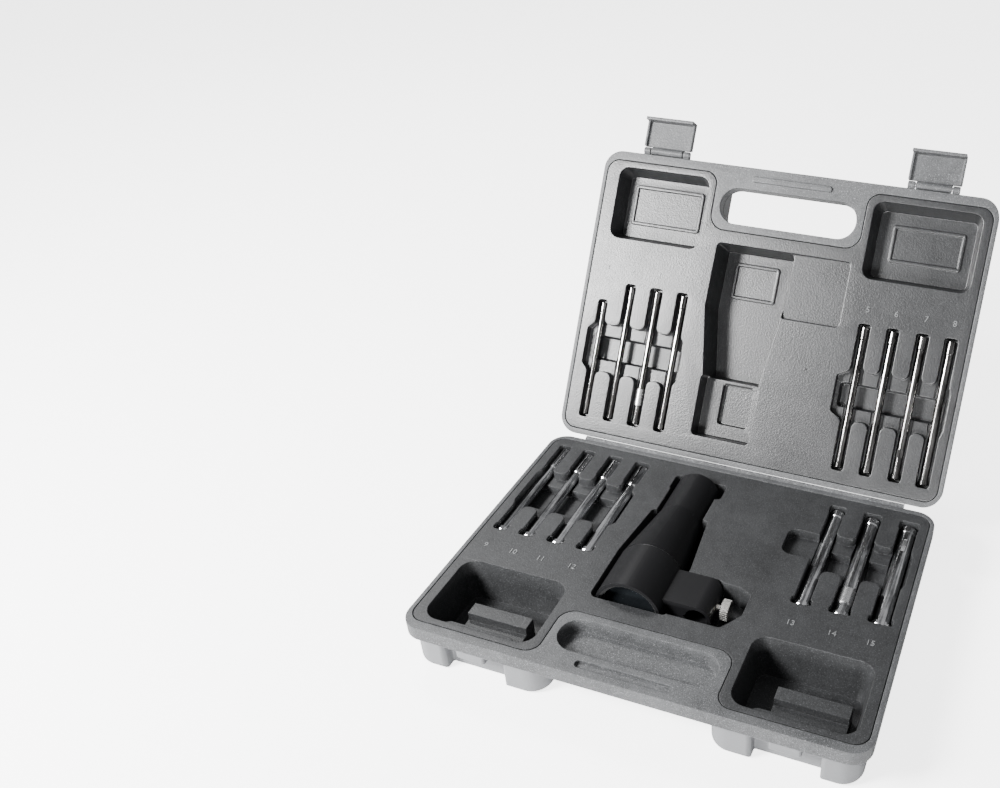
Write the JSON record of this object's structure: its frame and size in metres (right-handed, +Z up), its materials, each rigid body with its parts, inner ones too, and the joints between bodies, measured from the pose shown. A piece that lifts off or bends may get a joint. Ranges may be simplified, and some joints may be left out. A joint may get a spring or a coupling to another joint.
{
  "type": "alignment sight kit",
  "caption": "Open hinged case holding a collimator sight on a thumb-screw mount and rows of steel arbors in moulded slots.",
  "frame": {"origin": "on the ground under the middle of the base, the case standing open", "axes": "+Z up, +Y from the handle edge to the hinge, +X to the right"},
  "size_m": [0.26, 0.3183, 0.2185],
  "materials": {
    "case_shell_plastic": "fine pebbled grey moulded plastic",
    "case_tray_plastic": "fine pebbled dark grey moulded plastic",
    "hinge_film": "smooth thin moulded film",
    "black_anodised": "matte black anodised aluminium",
    "black_ring": "satin black with bright worn edges",
    "bright_seam": "thin satin metal line",
    "optical_glass": "coated dark lens",
    "nickel": "bright nickel plate",
    "nylon": "natural nylon",
    "pin_steel": "plain steel wire",
    "arbor_steel": "polished steel",
    "sleeve_bright": "bright tube",
    "leaf_steel": "spring leaf"
  },
  "bodies": {
    "base": {"base_shell": "case_shell_plastic", "base_tray": "case_tray_plastic", "living_hinge": "hinge_film"},
    "lid": {"lid_shell": "case_shell_plastic", "lid_tray": "case_tray_plastic", "latch_pin_left": "pin_steel", "latch_pin_right": "pin_steel"},
    "latch_left_body": {"latch_left": "case_shell_plastic"},
    "latch_right_body": {"latch_right": "case_shell_plastic"},
    "collimator": {"collimator_mount": "black_anodised", "barrel_seam_ring": "bright_seam", "collimator_tube": "black_anodised", "rear_cap": "black_anodised", "rear_window": "optical_glass", "lens_ring": "black_ring", "objective_lens": "optical_glass", "reticle_ring": "black_ring", "reticle": "optical_glass"},
    "clamp_pad_body": {"clamp_pad": "nylon"},
    "thumb_screw_body": {"thumb_screw": "nickel"},
    "arbor_01_body": {"arbor_01": "arbor_steel"},
    "arbor_02_body": {"arbor_02": "arbor_steel"},
    "arbor_03_body": {"arbor_03": "arbor_steel", "arbor_03_sleeve": "sleeve_bright"},
    "arbor_04_body": {"arbor_04": "arbor_steel"},
    "arbor_05_body": {"arbor_05": "arbor_steel"},
    "arbor_06_body": {"arbor_06": "arbor_steel"},
    "arbor_07_body": {"arbor_07": "arbor_steel"},
    "arbor_08_body": {"arbor_08": "arbor_steel"},
    "arbor_09_body": {"arbor_09": "arbor_steel"},
    "arbor_10_body": {"arbor_10": "arbor_steel"},
    "arbor_11_body": {"arbor_11": "arbor_steel"},
    "arbor_12_body": {"arbor_12": "arbor_steel"},
    "arbor_13_body": {"arbor_13": "arbor_steel"},
    "arbor_14_body": {"arbor_14": "arbor_steel", "arbor_14_clip": "sleeve_bright"},
    "arbor_15_body": {"arbor_15": "arbor_steel", "arbor_15_leaf": "leaf_steel"}
  },
  "joints": [
    {"name": "lid_hinge", "type": "hinge", "parent": "base", "child": "lid", "pos_m": [0, 0.0975, 0.0322], "axis": [-1, 0, 0], "range_deg": [-122, 0], "deforming": ["living_hinge"]},
    {"name": "latch_left_fold", "type": "hinge", "parent": "lid", "child": "latch_left_body", "pos_m": [-0.088, 0.20334, 0.19742], "axis": [-1, 0, 0], "range_deg": [-90, 0]},
    {"name": "latch_right_fold", "type": "hinge", "parent": "lid", "child": "latch_right_body", "pos_m": [0.088, 0.20334, 0.19742], "axis": [-1, 0, 0], "range_deg": [-90, 0]},
    {"name": "collimator_lift", "type": "slide", "parent": "base", "child": "collimator", "axis": [0, 0, 1], "range_m": [0, 0.06]},
    {"name": "thumb_screw_feed", "type": "slide", "parent": "collimator", "child": "clamp_pad_body", "axis": [1, 0, 0], "range_m": [0, 0.00801]},
    {"name": "thumb_screw_turn", "type": "hinge", "parent": "clamp_pad_body", "child": "thumb_screw_body", "pos_m": [0.0295, -0.019, 0.025], "axis": [1, 0, 0], "range_deg": [0, 3600]},
    {"name": "arbor_01_lift", "type": "slide", "parent": "lid", "child": "arbor_01_body", "axis": [0, -0.848, 0.5299], "range_m": [0, 0.02]},
    {"name": "arbor_02_lift", "type": "slide", "parent": "lid", "child": "arbor_02_body", "axis": [0, -0.848, 0.5299], "range_m": [0, 0.02]},
    {"name": "arbor_03_lift", "type": "slide", "parent": "lid", "child": "arbor_03_body", "axis": [0, -0.848, 0.5299], "range_m": [0, 0.02]},
    {"name": "arbor_04_lift", "type": "slide", "parent": "lid", "child": "arbor_04_body", "axis": [0, -0.848, 0.5299], "range_m": [0, 0.02]},
    {"name": "arbor_05_lift", "type": "slide", "parent": "lid", "child": "arbor_05_body", "axis": [0, -0.848, 0.5299], "range_m": [0, 0.02]},
    {"name": "arbor_06_lift", "type": "slide", "parent": "lid", "child": "arbor_06_body", "axis": [0, -0.848, 0.5299], "range_m": [0, 0.02]},
    {"name": "arbor_07_lift", "type": "slide", "parent": "lid", "child": "arbor_07_body", "axis": [0, -0.848, 0.5299], "range_m": [0, 0.02]},
    {"name": "arbor_08_lift", "type": "slide", "parent": "lid", "child": "arbor_08_body", "axis": [0, -0.848, 0.5299], "range_m": [0, 0.02]},
    {"name": "arbor_09_lift", "type": "slide", "parent": "base", "child": "arbor_09_body", "axis": [0, 0, 1], "range_m": [0, 0.05]},
    {"name": "arbor_10_lift", "type": "slide", "parent": "base", "child": "arbor_10_body", "axis": [0, 0, 1], "range_m": [0, 0.05]},
    {"name": "arbor_11_lift", "type": "slide", "parent": "base", "child": "arbor_11_body", "axis": [0, 0, 1], "range_m": [0, 0.05]},
    {"name": "arbor_12_lift", "type": "slide", "parent": "base", "child": "arbor_12_body", "axis": [0, 0, 1], "range_m": [0, 0.05]},
    {"name": "arbor_13_lift", "type": "slide", "parent": "base", "child": "arbor_13_body", "axis": [0, 0, 1], "range_m": [0, 0.05]},
    {"name": "arbor_14_lift", "type": "slide", "parent": "base", "child": "arbor_14_body", "axis": [0, 0, 1], "range_m": [0, 0.05]},
    {"name": "arbor_15_lift", "type": "slide", "parent": "base", "child": "arbor_15_body", "axis": [0, 0, 1], "range_m": [0, 0.05]}
  ],
  "couplings": [
    {"joint": "thumb_screw_feed", "follows": "thumb_screw_turn", "m_per_rad": 0.00012732}
  ]
}
